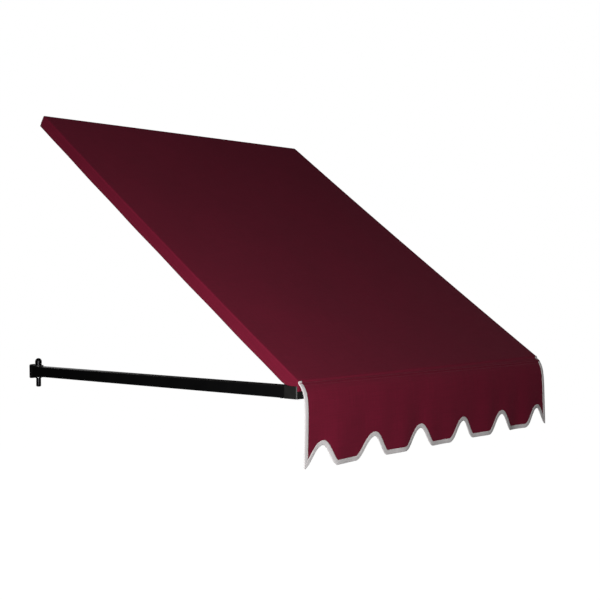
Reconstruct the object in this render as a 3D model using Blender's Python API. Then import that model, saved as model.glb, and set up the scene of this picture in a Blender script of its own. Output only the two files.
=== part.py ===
"""Window awning: a fixed frame of square tube under a woven cover, with a scalloped front valance.

The wall is the plane y = 0. The awning stands out from it towards -Y, +X runs along the wall and +Z is up.
The origin is the centre of the middle head bracket's wall face. Lengths are in metres.
"""

import math

import bmesh
import bpy
from mathutils import Matrix, Vector

# Overall sizes. "Out" is the distance from the wall, "up" is the height over the origin.
WIDTH = 1.029
RIDGE_OUT, RIDGE_UP = 0.076, 0.054
CREST_OUT, CREST_UP = 1.012, -0.628
VALANCE_DROP = 0.187

# Tubes
TUBE = 0.0254
TUBE_WALL = 0.0016
TUBE_ROUND = 0.0024
ARM_TUBE = 0.028
ARM_UP = -0.6547
ARM_X = 0.502

# Cloth
CLOTH = 0.0012
CLOTH_GAP = 0.0004
SAG_SIDE, SAG_MIDDLE = 0.004, 0.009
SIDE_FLAP = 0.032
BACK_FLAP = 0.024
FRONT_FLAP = 0.024
FLAP_FRONT_INSET = 0.020
RIDGE_TURN = 0.0016
CREST_TURN = 0.005
RAFTER_SET = 0.004
COVER_COLUMNS, COVER_STEPS = 13, 8

# Valance
SEAM_BELOW_CREST = 0.006
NOSE, NOSE_FALL = 0.020, 0.018
FLARE = 0.007
NOTCHES = 6
NOTCH_PITCH = 0.1844
NOTCH_DEPTH = 0.048
NOTCH_HALF_WIDTH = 0.062
NOTCH_STEPS = 6
BINDING_ROOM = 0.0015
FALL_SHARES = (0, 0.03, 0.07, 0.13, 0.22, 0.36, 0.65, 1.0)
BINDING_WIDTH = 0.0105
BINDING_THICKNESS = 0.0006

# Corner plugs, brackets and fasteners
GAP = 0.0003
PLUG_LENGTH = 0.038
PLUG_ROUND = 0.0006
CORNER_BACK = 0.970
CORNER_ROUND = 0.004
CORNER_LIP = 0.0005
SHOULDER_FOOT = 0.008
BRACKET_WIDTH = 0.040
BRACKET_PLATE = 0.003
BRACKET_HALF_HEIGHT = 0.031
BRACKET_BEND = 0.005
BRACKET_XS = {"left": -0.350, "centre": 0.0, "right": 0.350}
BRACKET_HOLE_RADIUS = 0.003
BRACKET_HOLE_UPS = {"low": -0.018, "high": 0.016}
PIVOT_OUT = 0.022
ARM_PAST_PIVOT = 0.0095
CLEVIS_WIDTH = 0.030
CLEVIS_HEIGHT = 0.039
CLEVIS_PLATE = 0.0035
CLEVIS_ROUND = 0.004
CLEVIS_HOLE_RADIUS = 0.0025
CLEVIS_HOLE_UPS = {"low": -0.009, "high": 0.009}
WALL_HOLE_DEPTH = 0.008
END_PLUG_FLANGE, END_PLUG_STEM = 0.0015, 0.030
EAR = 0.0024
EAR_ROUND = 0.014
BOLT_RADIUS = 0.004
BOLT_HEAD_RADIUS, BOLT_HEAD_HEIGHT = 0.0095, 0.020
NUT_RADIUS, NUT_HEIGHT = 0.0067, 0.024
NUT_DOME, NUT_END_WALL = 0.004, 0.006
WASHER_RADIUS, WASHER_THICKNESS = 0.0085, 0.0016
SCREW_RADIUS, SCREW_LENGTH = 0.0021, 0.010
SCREW_HEAD_RADIUS, SCREW_HEAD_HEIGHT = 0.0045, 0.0024
COVER_SCREW_XS = (-0.42, -0.21, 0.0, 0.21, 0.42)
COVER_SCREW_BELOW_CREST = 0.018
CORNER_SCREW_REACH = 0.018

SLOPE = math.atan2(RIDGE_UP - CREST_UP, CREST_OUT - RIDGE_OUT)
SLOPE_LENGTH = math.hypot(RIDGE_UP - CREST_UP, CREST_OUT - RIDGE_OUT)
TUBE_INSET = CLOTH + CLOTH_GAP
FRAME_X = WIDTH / 2 - CLOTH - GAP
CORNER_INNER_X = FRAME_X - TUBE
RAFTER_X = FRAME_X - TUBE / 2
HEAD_END = TUBE_INSET + TUBE
RAFTER_DEPTH = TUBE_INSET + RAFTER_SET + TUBE / 2
RAIL_FRONT_OUT = CREST_OUT - TUBE_INSET
RAIL_UP = CREST_UP - TUBE_INSET - TUBE / 2
FLAP_BOTTOM_UP = ARM_UP + ARM_TUBE / 2 + GAP
SEAM_OUT = CREST_OUT + CLOTH * 0.75
SEAM_UP = CREST_UP - SEAM_BELOW_CREST
UP_SLOPE = Vector((0, math.cos(SLOPE), math.sin(SLOPE)))
DOWN_SLOPE = -UP_SLOPE
OFF_SLOPE = Vector((0, -math.sin(SLOPE), math.cos(SLOPE)))


def clear_scene():
    for obj in list(bpy.data.objects):
        bpy.data.objects.remove(obj)


def finish_material(name, colour, roughness, metallic=0.0):
    material = bpy.data.materials.new(name)
    material.use_nodes = True
    shader = material.node_tree.nodes["Principled BSDF"]
    shader.inputs["Base Color"].default_value = (*colour, 1.0)
    shader.inputs["Roughness"].default_value = roughness
    shader.inputs["Metallic"].default_value = metallic
    material.diffuse_color = (*colour, 1.0)
    return material


def make_materials():
    return {
        "cover": finish_material("woven_acrylic", (0.17, 0.008, 0.028), 0.85),
        "valance": finish_material("valance_acrylic", (0.17, 0.008, 0.028), 0.85),
        "binding": finish_material("white_binding", (0.85, 0.83, 0.82), 0.75),
        "tube": finish_material("black_powder_coat", (0.008, 0.008, 0.008), 0.4),
        "corner": finish_material("charcoal_nylon", (0.03, 0.03, 0.03), 0.5),
        "plug": finish_material("black_nylon", (0.012, 0.012, 0.012), 0.55),
        "bracket": finish_material("black_coated_steel", (0.01, 0.01, 0.01), 0.42),
        "bolt": finish_material("blackened_steel", (0.015, 0.015, 0.016), 0.35, 1.0),
        "screw": finish_material("zinc_plated_steel", (0.55, 0.55, 0.57), 0.3, 1.0),
    }


def place(obj, location, rotation=Matrix.Identity(3), parent=None):
    obj.location = location
    obj.rotation_euler = rotation.to_euler()
    if parent is not None:
        obj.parent = parent
        obj.location = Vector(location) - parent.location
    return obj


def solid(name, bm, material=None, sharp=math.radians(35)):
    """A new object from the bmesh, faces turned outwards. One with no material is a hidden helper."""
    bmesh.ops.recalc_face_normals(bm, faces=bm.faces)
    mesh = bpy.data.meshes.new(name)
    bm.to_mesh(mesh)
    bm.free()
    mesh.shade_smooth()
    mesh.set_sharp_from_angle(angle=sharp)
    obj = bpy.data.objects.new(name, mesh)
    bpy.context.scene.collection.objects.link(obj)
    if material is None:
        obj.hide_render = True
        obj.display_type = "WIRE"
    else:
        mesh.materials.append(material)
    return obj


def combine(obj, operation, *helpers):
    for helper in helpers:
        modifier = obj.modifiers.new(helper.name, "BOOLEAN")
        modifier.operation = operation
        modifier.solver = "EXACT"
        modifier.object = helper
    return obj


def ring_faces(bm, first, second):
    count = len(first)
    for i in range(count):
        j = (i + 1) % count
        bm.faces.new((first[i], first[j], second[j], second[i]))


def prism(name, outline, low, high, axes, material=None):
    """An outline in two axes, extruded along the third from low to high. axes names them, such as "yzx"."""
    order = ["xyz".index(axis) for axis in axes]
    bm = bmesh.new()
    rings = []
    for level in (low, high):
        ring = []
        for a, b in outline:
            point = [0.0, 0.0, 0.0]
            point[order[0]], point[order[1]], point[order[2]] = a, b, level
            ring.append(bm.verts.new(point))
        rings.append(ring)
        bm.faces.new(ring)
    ring_faces(bm, *rings)
    return solid(name, bm, material)


def rounded_rectangle(width, height, radius, steps=3):
    """The corners' arcs in turn, counter-clockwise, about the origin."""
    points = []
    for quarter in range(4):
        corner = math.radians(45 + 90 * quarter)
        centre_x = math.copysign(width / 2 - radius, math.cos(corner))
        centre_y = math.copysign(height / 2 - radius, math.sin(corner))
        for step in range(steps + 1):
            angle = math.radians(90 * quarter + 90 * step / steps)
            points.append((centre_x + radius * math.cos(angle), centre_y + radius * math.sin(angle)))
    return points


def square_tube(name, size, wall, length, material, end_slant=0.0):
    """A hollow square tube along local +Z. end_slant shortens the far end for each metre of local Y."""
    bm = bmesh.new()
    outer = rounded_rectangle(size, size, TUBE_ROUND)
    inner = rounded_rectangle(size - 2 * wall, size - 2 * wall, TUBE_ROUND - wall)
    rings = []
    for outline in (outer, inner):
        rings.append([bm.verts.new((x, y, 0)) for x, y in outline])
        rings.append([bm.verts.new((x, y, length - y * end_slant)) for x, y in outline])
    outer_start, outer_end, inner_start, inner_end = rings
    ring_faces(bm, outer_start, outer_end)
    ring_faces(bm, inner_start, inner_end)
    ring_faces(bm, outer_start, inner_start)
    ring_faces(bm, outer_end, inner_end)
    return solid(name, bm, material)


def circle(bm, radius, height, steps):
    """A ring of points about local Z, with a flat and not a point on each axis."""
    angles = [2 * math.pi * (step + 0.5) / steps for step in range(steps)]
    return [bm.verts.new((radius * math.cos(a), radius * math.sin(a), height)) for a in angles]


def turned(name, profile, material=None, steps=12):
    """A profile of (radius, height) points about local Z, from one end on the axis to the other."""
    bm = bmesh.new()
    rings = []
    for radius, height in profile:
        if radius == 0:
            rings.append([bm.verts.new((0, 0, height))])
            continue
        rings.append(circle(bm, radius, height, steps))
    for first, second in zip(rings, rings[1:]):
        if len(first) == 1 or len(second) == 1:
            pole, ring = (first[0], second) if len(first) == 1 else (second[0], first)
            for i in range(steps):
                bm.faces.new((pole, ring[i], ring[(i + 1) % steps]))
        else:
            ring_faces(bm, first, second)
    return solid(name, bm, material)


def dome(radius, height, base, steps=4):
    """Profile points of a quarter ellipse, from the rim at base to the pole."""
    angles = [math.radians(90 * step / steps) for step in range(steps)]
    return [(radius * math.cos(a), base + height * math.sin(a)) for a in angles] + [(0, base + height)]


def facing(direction, up):
    """The rotation that takes local Z to direction and local Y to up."""
    z = Vector(direction).normalized()
    y = Vector(up).normalized()
    return Matrix((y.cross(z), y, z)).transposed()


def on_slope(along, depth, x=0.0):
    """The point so far down the slope from the ridge, and so deep under the straight line of the cover."""
    return Vector((x, -RIDGE_OUT, RIDGE_UP)) + DOWN_SLOPE * along - OFF_SLOPE * depth


def screw(name, base, inward, hosts, material, parent):
    """A pan-head screw whose head stands on base. Each host gets its hole."""
    recess = SCREW_HEAD_RADIUS * 0.35
    crown = SCREW_HEAD_RADIUS * 0.7
    profile = [
        (0, SCREW_LENGTH),
        (SCREW_RADIUS * 0.5, SCREW_LENGTH),
        (SCREW_RADIUS, SCREW_LENGTH - SCREW_RADIUS),
        (SCREW_RADIUS, 0),
        (SCREW_HEAD_RADIUS, 0),
        (SCREW_HEAD_RADIUS, -SCREW_HEAD_HEIGHT * 0.4),
        (crown, -SCREW_HEAD_HEIGHT),
        (recess, -SCREW_HEAD_HEIGHT),
        (recess, -SCREW_HEAD_HEIGHT * 0.45),
        (0, -SCREW_HEAD_HEIGHT * 0.45),
    ]
    rotation = facing(inward, (1, 0, 0))
    body = turned(name, profile, material)
    place(body, base, rotation, parent)
    hole_radius = SCREW_RADIUS + GAP
    hole = turned(name + "_hole", cylinder_profile(hole_radius, -GAP, SCREW_LENGTH + GAP))
    place(hole, base, rotation, parent)
    for host in hosts:
        combine(host, "DIFFERENCE", hole)
    return body


def cylinder_profile(radius, low, high):
    return [(0, low), (radius, low), (radius, high), (0, high)]


def make_tubes(materials, parent):
    """The six tubes of the frame, by name."""
    coat = materials["tube"]
    rail_length = 2 * (CORNER_INNER_X - GAP)
    tubes = {}
    head_rail = square_tube("head_rail", TUBE, TUBE_WALL, rail_length, coat)
    middle = TUBE_INSET + TUBE / 2
    place(head_rail, on_slope(middle, middle, -rail_length / 2), facing((1, 0, 0), OFF_SLOPE), parent)
    tubes["head_rail"] = head_rail
    front_rail = square_tube("front_rail", TUBE, TUBE_WALL, rail_length, coat)
    front_start = (-rail_length / 2, -RAIL_FRONT_OUT + TUBE / 2, RAIL_UP)
    place(front_rail, front_start, facing((1, 0, 0), (0, 0, 1)), parent)
    tubes["front_rail"] = front_rail
    arm_length = CORNER_BACK - 2 * GAP - arm_end_out()
    for side, sign in (("left", -1), ("right", 1)):
        length = rafter_end() - HEAD_END - GAP
        rafter = square_tube(f"rafter_{side}", TUBE, TUBE_WALL, length, coat, math.tan(SLOPE))
        start = on_slope(HEAD_END + GAP, RAFTER_DEPTH, sign * RAFTER_X)
        place(rafter, start, facing(DOWN_SLOPE, OFF_SLOPE), parent)
        tubes[f"rafter_{side}"] = rafter
        arm = square_tube(f"arm_{side}", ARM_TUBE, TUBE_WALL, arm_length, coat)
        arm_start = (sign * ARM_X, -arm_end_out(), ARM_UP)
        place(arm, arm_start, facing((0, -1, 0), (0, 0, 1)), parent)
        tubes[f"arm_{side}"] = arm
    return tubes


def arm_end_out():
    """How far from the wall the arm's tube ends, so that the bracket can swing round it."""
    return PIVOT_OUT - ARM_PAST_PIVOT


def rafter_end():
    """How far down the slope the rafter's centre line meets the back of the front corner."""
    level = CORNER_BACK - GAP - RIDGE_OUT + RAFTER_DEPTH * math.sin(SLOPE)
    return level / math.cos(SLOPE)


def square_bar(name, size, length):
    """A solid square bar along local +Z, used as a plug that fills a tube's end."""
    return prism(name, rounded_rectangle(size, size, PLUG_ROUND, 1), 0, length, "xyz")


def plug_size(tube):
    return tube - 2 * TUBE_WALL - 2 * GAP


def make_head_corner(side, sign, materials, parent):
    """The moulded elbow between the head rail and a rafter: a block with one plug into each tube."""
    low, high = TUBE_INSET, TUBE_INSET + RAFTER_SET + TUBE
    outline = [on_slope(a, d).yz for a, d in ((low, low), (HEAD_END, low), (HEAD_END, high), (low, high))]
    outer, inner = sign * FRAME_X, sign * CORNER_INNER_X
    low_x, high_x = sorted((outer, inner))
    corner = prism(f"head_corner_{side}", outline, low_x, high_x, "yzx", materials["corner"])
    place(corner, (0, 0, 0), parent=parent)
    middle = TUBE_INSET + TUBE / 2
    inside = TUBE / 2
    rail_plug = square_bar(f"head_rail_plug_{side}", plug_size(TUBE), PLUG_LENGTH + inside)
    rail_start = on_slope(middle, middle, sign * (CORNER_INNER_X + inside))
    place(rail_plug, rail_start, facing((-sign, 0, 0), OFF_SLOPE), parent)
    rafter_plug = square_bar(f"rafter_top_plug_{side}", plug_size(TUBE), PLUG_LENGTH + inside)
    rafter_start = on_slope(HEAD_END - inside, RAFTER_DEPTH, sign * RAFTER_X)
    place(rafter_plug, rafter_start, facing(DOWN_SLOPE, OFF_SLOPE), parent)
    return combine(corner, "UNION", rail_plug, rafter_plug)


def make_front_corner(side, sign, materials, parent):
    """The moulded three-way corner: a rounded block on the arm's line, a shoulder that meets the rafter
    and the front rail, and one plug into each of the three tubes."""
    inside = TUBE / 2
    block_width = ARM_X + ARM_TUBE / 2 + CORNER_LIP - CORNER_INNER_X
    block_length = RAIL_FRONT_OUT - CORNER_BACK + CORNER_LIP
    plan = rounded_rectangle(block_width, block_length, CORNER_ROUND, 4)
    block_bottom = ARM_UP - ARM_TUBE / 2 - CORNER_LIP
    block_top = FLAP_BOTTOM_UP - GAP
    corner = prism(f"front_corner_{side}", plan, block_bottom, block_top, "xyz", materials["corner"])
    block_x = sign * (CORNER_INNER_X + block_width / 2)
    place(corner, (block_x, -RAIL_FRONT_OUT + block_length / 2, 0), parent=parent)
    top = RAIL_UP + TUBE / 2
    shoulder_depth = TUBE_INSET + RAFTER_SET

    def slope_up(out):
        return CREST_UP + (CREST_OUT - out) * math.tan(SLOPE) - shoulder_depth / math.cos(SLOPE)

    meet_out = CREST_OUT - (top - CREST_UP + shoulder_depth / math.cos(SLOPE)) / math.tan(SLOPE)
    front = RAIL_FRONT_OUT - CORNER_LIP / 2
    foot = FLAP_BOTTOM_UP - SHOULDER_FOOT
    outline = [
        (-CORNER_BACK, slope_up(CORNER_BACK)),
        (-meet_out, top),
        (-front + TUBE_ROUND, top),
        (-front, top - TUBE_ROUND),
        (-front, foot),
        (-CORNER_BACK, foot),
    ]
    outer, inner = sign * FRAME_X, sign * (CORNER_INNER_X + CORNER_LIP / 2)
    shoulder = prism(f"corner_shoulder_{side}", outline, min(outer, inner), max(outer, inner), "yzx")
    rail_plug = square_bar(f"front_rail_plug_{side}", plug_size(TUBE), PLUG_LENGTH + inside)
    rail_start = (sign * (CORNER_INNER_X + inside), -RAIL_FRONT_OUT + TUBE / 2, RAIL_UP)
    place(rail_plug, rail_start, facing((-sign, 0, 0), (0, 0, 1)), parent)
    rafter_plug = square_bar(f"rafter_low_plug_{side}", plug_size(TUBE), PLUG_LENGTH + inside)
    rafter_start = on_slope(rafter_end() + inside, RAFTER_DEPTH, sign * RAFTER_X)
    place(rafter_plug, rafter_start, facing(UP_SLOPE, OFF_SLOPE), parent)
    arm_plug = square_bar(f"arm_front_plug_{side}", plug_size(ARM_TUBE), PLUG_LENGTH + inside)
    place(arm_plug, (sign * ARM_X, -CORNER_BACK - inside, ARM_UP), facing((0, 1, 0), (0, 0, 1)), parent)
    return combine(corner, "UNION", shoulder, rail_plug, rafter_plug, arm_plug)


def bent_strip(points, thickness, radius, steps=4):
    """The outline of a folded metal strip that follows the points, with each fold rounded."""
    line = [Vector(points[0])]
    for before, corner, after in zip(points, points[1:], points[2:]):
        corner = Vector(corner)
        come = (corner - Vector(before)).normalized()
        leave = (Vector(after) - corner).normalized()
        half = come.angle(leave) / 2
        back = radius * math.tan(half)
        centre = corner + (leave - come).normalized() * (radius / math.cos(half))
        spoke = corner - come * back - centre
        turn = 2 * half * (1 if come.x * leave.y - come.y * leave.x > 0 else -1)
        for step in range(steps + 1):
            line.append(centre + Matrix.Rotation(turn * step / steps, 2) @ spoke)
    line.append(Vector(points[-1]))
    offsets = []
    for i, point in enumerate(line):
        ahead = (line[min(i + 1, len(line) - 1)] - line[max(i - 1, 0)]).normalized()
        offsets.append(Vector((-ahead.y, ahead.x)) * thickness / 2)
    one_side = [p + o for p, o in zip(line, offsets)]
    other_side = [p - o for p, o in zip(line, offsets)]
    return one_side + other_side[::-1]


def wall_hole(name, radius, centre):
    """The cutter of a screw hole that runs out from the wall."""
    hole = turned(name, cylinder_profile(radius, -WALL_HOLE_DEPTH, WALL_HOLE_DEPTH))
    return place(hole, centre, facing((0, -1, 0), (1, 0, 0)))


def make_head_bracket(side, x, head_rail, materials, parent):
    """A folded strip: up the wall, out under the head rail, and down along the rail's lower face."""
    tab_depth = HEAD_END + GAP + BRACKET_PLATE / 2
    shelf_up = BRACKET_HALF_HEIGHT - BRACKET_PLATE / 2
    fold_along = (RIDGE_UP - tab_depth * math.cos(SLOPE) - shelf_up) / math.sin(SLOPE)
    wall_line = -BRACKET_PLATE / 2
    line = [
        (wall_line, -BRACKET_HALF_HEIGHT),
        (wall_line, shelf_up),
        on_slope(fold_along, tab_depth).yz,
        on_slope(TUBE_INSET + TUBE * 0.92, tab_depth).yz,
    ]
    outline = bent_strip(line, BRACKET_PLATE, BRACKET_BEND)
    half_width = BRACKET_WIDTH / 2
    bracket = prism(f"head_bracket_{side}", outline, -half_width, half_width, "yzx", materials["bracket"])
    place(bracket, (x, 0, 0), parent=parent)
    for end, up in BRACKET_HOLE_UPS.items():
        hole = wall_hole(f"wall_hole_{side}_{end}", BRACKET_HOLE_RADIUS, (x, 0, up))
        combine(bracket, "DIFFERENCE", hole)
    middle = TUBE_INSET + TUBE / 2
    base = on_slope(middle, HEAD_END + 2 * GAP + BRACKET_PLATE, x)
    screw(f"head_bracket_screw_{side}", base, OFF_SLOPE, (bracket, head_rail), materials["screw"], parent)


def make_arm_pivot(side, sign, arm, materials, parent):
    """The clevis bracket on the wall, the plug in the arm's end and the bolt that joins them."""
    axis = bpy.data.objects.new(f"bracket_pivot_{side}", None)
    bpy.context.scene.collection.objects.link(axis)
    axis.location = (sign * ARM_X, -PIVOT_OUT, ARM_UP)
    half_tube = ARM_TUBE / 2
    plate = prism(
        f"wall_bracket_{side}",
        rounded_rectangle(CLEVIS_WIDTH, CLEVIS_HEIGHT, CLEVIS_ROUND),
        PIVOT_OUT - CLEVIS_PLATE,
        PIVOT_OUT,
        "xzy",
        materials["bracket"],
    )
    place(plate, axis.location, parent=axis)
    ear_outline = [(-EAR_ROUND, PIVOT_OUT - CLEVIS_PLATE / 2)]
    ear_steps = 12
    for step in range(ear_steps + 1):
        angle = math.pi + math.pi * step / ear_steps
        ear_outline.append((EAR_ROUND * math.cos(angle), EAR_ROUND * math.sin(angle)))
    ear_outline.append((EAR_ROUND, PIVOT_OUT - CLEVIS_PLATE / 2))
    for level, low in (("upper", half_tube + GAP), ("lower", -half_tube - GAP - EAR)):
        ear = prism(f"{level}_ear_{side}", ear_outline, low, low + EAR, "xyz")
        place(ear, axis.location, parent=axis)
        combine(plate, "UNION", ear)
    hole_radius = BOLT_RADIUS + GAP
    bore_profile = cylinder_profile(hole_radius, -2 * ARM_TUBE, 2 * ARM_TUBE)
    bore = turned(f"bolt_hole_{side}", bore_profile, steps=16)
    place(bore, axis.location, parent=axis)
    combine(plate, "DIFFERENCE", bore)
    combine(arm, "DIFFERENCE", bore)
    for end, up in CLEVIS_HOLE_UPS.items():
        hole = wall_hole(f"clevis_hole_{side}_{end}", CLEVIS_HOLE_RADIUS, (sign * ARM_X, 0, ARM_UP + up))
        combine(plate, "DIFFERENCE", hole)

    head_base = half_tube + 2 * GAP + EAR
    washer_top = -half_tube - 2 * GAP - EAR
    nut_top = washer_top - WASHER_THICKNESS - GAP
    nut_bottom = nut_top - NUT_HEIGHT
    bolt_tip = nut_bottom + NUT_END_WALL
    head_side = BOLT_HEAD_HEIGHT - BOLT_HEAD_RADIUS
    bolt_profile = [(0, bolt_tip), (BOLT_RADIUS, bolt_tip)]
    bolt_profile += [(BOLT_RADIUS, head_base), (BOLT_HEAD_RADIUS, head_base)]
    bolt_profile += dome(BOLT_HEAD_RADIUS, BOLT_HEAD_RADIUS, head_base + head_side)
    bolt = turned(f"pivot_bolt_{side}", bolt_profile, materials["bolt"], 16)
    place(bolt, axis.location, parent=axis)

    washer = washer_ring(f"bracket_washer_{side}", hole_radius, materials["screw"])
    place(washer, axis.location + Vector((0, 0, washer_top - WASHER_THICKNESS)), parent=axis)
    nut_end = [(radius, nut_bottom + NUT_DOME - rise) for radius, rise in dome(NUT_RADIUS, NUT_DOME, 0)]
    nut_profile = nut_end[::-1] + [(NUT_RADIUS, nut_top), (hole_radius, nut_top)]
    nut_profile += [(hole_radius, bolt_tip - GAP), (0, bolt_tip - GAP)]
    nut = turned(f"barrel_nut_{side}", nut_profile, materials["bolt"], 16)
    place(nut, axis.location, parent=axis)

    flange_start = ARM_PAST_PIVOT + GAP
    plug = prism(
        f"arm_plug_{side}",
        rounded_rectangle(ARM_TUBE, ARM_TUBE, TUBE_ROUND),
        flange_start,
        flange_start + END_PLUG_FLANGE,
        "xzy",
        materials["plug"],
    )
    place(plug, axis.location, parent=parent)
    stem = square_bar(f"arm_plug_stem_{side}", plug_size(ARM_TUBE), END_PLUG_STEM)
    stem_start = (sign * ARM_X, -arm_end_out() + GAP + END_PLUG_FLANGE / 2, ARM_UP)
    place(stem, stem_start, facing((0, -1, 0), (0, 0, 1)), parent)
    combine(plug, "UNION", stem)
    combine(plug, "DIFFERENCE", bore)


def washer_ring(name, inner, material, steps=16):
    bm = bmesh.new()
    rings = []
    corners = [(inner, 0), (WASHER_RADIUS, 0), (WASHER_RADIUS, WASHER_THICKNESS), (inner, WASHER_THICKNESS)]
    for radius, height in corners:
        rings.append(circle(bm, radius, height, steps))
    for first, second in zip(rings, rings[1:] + rings[:1]):
        ring_faces(bm, first, second)
    return solid(name, bm, material)


def cover_sag(x, along):
    """How deep the cloth hangs under its straight line: most at mid slope, and more between the rafters."""
    share = max(0.0, (along - HEAD_END) / (SLOPE_LENGTH - HEAD_END))
    amount = SAG_SIDE + (SAG_MIDDLE - SAG_SIDE) * math.cos(math.pi * x / WIDTH) ** 2
    return 4 * share * (1 - share) * amount


def cover_profile(x):
    """The cover's outer line at x, from the back flap's edge over the ridge to the front flap's edge."""
    turn = RIDGE_TURN
    spots = [(0, BACK_FLAP), (0, turn), (turn * 0.3, turn * 0.3), (turn, 0), (HEAD_END, 0)]
    last = SLOPE_LENGTH - CREST_TURN
    for step in range(1, COVER_STEPS + 1):
        along = HEAD_END + (last - HEAD_END) * step / COVER_STEPS
        spots.append((along, cover_sag(x, along)))
    line = [on_slope(along, depth, x) for along, depth in spots]
    line.append(Vector((x, -CREST_OUT + CREST_TURN * 0.24, CREST_UP - CREST_TURN * 0.18)))
    for up in (CREST_UP - CREST_TURN, FLAP_BOTTOM_UP, CREST_UP - FRONT_FLAP):
        line.append(Vector((x, -CREST_OUT, up)))
    return line


def flap_edge(x):
    """The side flap's lower edge, from the front back to the ridge: level over the arm, then up the slope."""
    level = -(FLAP_BOTTOM_UP - RIDGE_UP)
    meet = (level - SIDE_FLAP * math.cos(SLOPE)) / math.sin(SLOPE)
    points = [Vector((x, -CREST_OUT + FLAP_FRONT_INSET, FLAP_BOTTOM_UP))]
    for step in range(COVER_STEPS):
        along = meet * (1 - step / (COVER_STEPS - 1))
        points.append(on_slope(along, SIDE_FLAP + (cover_sag(x, along) if step else 0), x))
    return points


def make_cover(materials, parent):
    """The woven top: one cloth over the whole frame, with a box-sewn flap down each of its four sides."""
    bm = bmesh.new()
    grid = []
    for column in range(COVER_COLUMNS + 1):
        x = WIDTH * (column / COVER_COLUMNS - 0.5)
        grid.append([bm.verts.new(point) for point in cover_profile(x)])
    for first, second in zip(grid, grid[1:]):
        for i in range(len(first) - 1):
            bm.faces.new((first[i], first[i + 1], second[i + 1], second[i]))
    for line, x in ((grid[0], -WIDTH / 2), (grid[-1], WIDTH / 2)):
        edge = [bm.verts.new(point) for point in flap_edge(x)]
        face = line[:-1] + edge
        bm.faces.new(face if x > 0 else face[::-1])
    mesh = bpy.data.meshes.new("canopy_cover")
    bm.to_mesh(mesh)
    bm.free()
    mesh.materials.append(materials["cover"])
    cover = bpy.data.objects.new("canopy_cover", mesh)
    bpy.context.scene.collection.objects.link(cover)
    place(cover, (0, 0, 0), parent=parent)
    wall = cover.modifiers.new("cloth thickness", "SOLIDIFY")
    wall.thickness = CLOTH
    wall.offset = -1
    wall.solidify_mode = "NON_MANIFOLD"
    wall.nonmanifold_thickness_mode = "CONSTRAINTS"
    return cover


def valance_bottom(x):
    """The fall of the scalloped edge below the seam at x."""
    fall = VALANCE_DROP
    for notch in range(NOTCHES):
        away = abs(x - (notch - (NOTCHES - 1) / 2) * NOTCH_PITCH)
        if away < NOTCH_HALF_WIDTH:
            fall -= NOTCH_DEPTH * math.cos(math.pi * away / NOTCH_HALF_WIDTH / 2) ** 2
    return fall


def valance_point(x, fall, off=0.0):
    """A point on the valance at x, so far below the seam and off its middle surface towards the street."""
    out = NOSE * (1 - math.exp(-fall / NOSE_FALL))
    lean = NOSE / NOSE_FALL * math.exp(-fall / NOSE_FALL)
    outward = Vector((0, -1, lean)).normalized()
    flared = x * (1 + FLARE / (WIDTH / 2) * fall / VALANCE_DROP)
    return Vector((flared, -SEAM_OUT - out, SEAM_UP - fall)) + outward * off


def scallop_stations():
    """Places along the valance: close together round the notches, and only the ends on the flat lobes."""
    half = WIDTH / 2 - BINDING_ROOM
    places = {-half, half}
    for notch in range(NOTCHES):
        centre = (notch - (NOTCHES - 1) / 2) * NOTCH_PITCH
        for step in range(-NOTCH_STEPS, NOTCH_STEPS + 1):
            x = centre + NOTCH_HALF_WIDTH * step / NOTCH_STEPS
            if abs(x) < half - BINDING_ROOM:
                places.add(x)
    return sorted(places)


def make_valance(materials, parent):
    """The hanging front sheet: a thin shell that leaves the seam outwards, then falls straight."""
    bm = bmesh.new()
    sides = []
    for off in (-CLOTH / 2, CLOTH / 2):
        columns = []
        for x in scallop_stations():
            bottom = valance_bottom(x)
            columns.append([bm.verts.new(valance_point(x, share * bottom, off)) for share in FALL_SHARES])
        for first, second in zip(columns, columns[1:]):
            for i in range(len(FALL_SHARES) - 1):
                bm.faces.new((first[i], first[i + 1], second[i + 1], second[i]))
        bottom_edge = [column[-1] for column in columns[1:-1]]
        top_edge = [column[0] for column in columns[-2:0:-1]]
        sides.append(columns[0] + bottom_edge + columns[-1][::-1] + top_edge)
    ring_faces(bm, *sides)
    place(solid("valance", bm, materials["valance"]), (0, 0, 0), parent=parent)


def make_binding(materials, parent):
    """White tape folded over the valance's side edges and scallops: a U section along that path."""
    stations = scallop_stations()
    shares = (FALL_SHARES[1] / 2, *FALL_SHARES[1:-1])
    drops = [share * valance_bottom(stations[0]) for share in shares]
    left = [Vector((stations[0], drop)) for drop in drops]
    bottom = [Vector((x, valance_bottom(x))) for x in stations]
    right = [Vector((stations[-1], drop)) for drop in drops[::-1]]
    path = left + bottom + right
    slot = CLOTH / 2 + GAP
    face = slot + BINDING_THICKNESS
    fold = -GAP - BINDING_THICKNESS
    section = [
        (fold, -face),
        (BINDING_WIDTH, -face),
        (BINDING_WIDTH, -slot),
        (-GAP, -slot),
        (-GAP, slot),
        (BINDING_WIDTH, slot),
        (BINDING_WIDTH, face),
        (fold, face),
    ]
    bm = bmesh.new()
    rings = []
    for i, point in enumerate(path):
        come = point - path[i - 1] if i else path[1] - path[0]
        leave = path[i + 1] - point if i + 1 < len(path) else come
        inward_before = Vector((come.y, -come.x)).normalized()
        inward_after = Vector((leave.y, -leave.x)).normalized()
        inward = (inward_before + inward_after) / (1 + inward_before.dot(inward_after))
        ring = []
        for reach, off in section:
            x, fall = point + inward * reach
            ring.append(bm.verts.new(valance_point(x, fall, off)))
        rings.append(ring)
    for first, second in zip(rings, rings[1:]):
        ring_faces(bm, first, second)
    bm.faces.new(rings[0])
    bm.faces.new(rings[-1])
    place(solid("valance_binding", bm, materials["binding"]), (0, 0, 0), parent=parent)


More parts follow.
